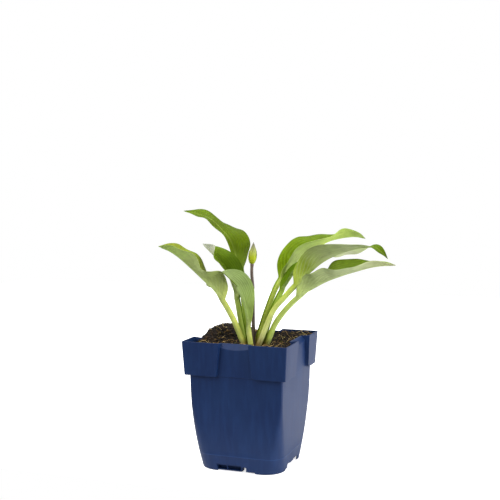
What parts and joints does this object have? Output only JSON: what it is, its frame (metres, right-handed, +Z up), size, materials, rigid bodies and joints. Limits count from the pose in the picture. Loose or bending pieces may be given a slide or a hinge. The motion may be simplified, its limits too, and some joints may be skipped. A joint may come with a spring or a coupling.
{
  "type": "potted hosta plant",
  "caption": "Young hosta with arching ribbed leaves, a short flower stem and a closed bud, growing in peat in a square blue nursery pot.",
  "frame": {"origin": "middle of the pot's base, on the surface that its feet stand on", "axes": "+Z up, -Y towards the pot's front, +X to the right of it"},
  "size_m": [0.1965, 0.1091, 0.2142],
  "materials": {
    "pot_plastic": "satin",
    "peat": "matte",
    "rootstock": "matte",
    "leaf_green": "satin",
    "stem_purple": "satin",
    "bud_green": "satin",
    "bract_green": "satin"
  },
  "bodies": {
    "root": {"pot": "pot_plastic", "soil": "peat", "crown": "rootstock", "leaf_left_front": "leaf_green", "leaf_left_back": "leaf_green", "leaf_left_top": "leaf_green", "leaf_front": "leaf_green", "leaf_right_top": "leaf_green", "leaf_right_middle": "leaf_green", "leaf_right_low": "leaf_green", "leaf_right_back": "leaf_green", "flower_stem": "stem_purple", "flower_bud": "bud_green", "bract_front": "bract_green", "bract_left": "bract_green", "bract_back": "bract_green"}
  },
  "joints": []
}
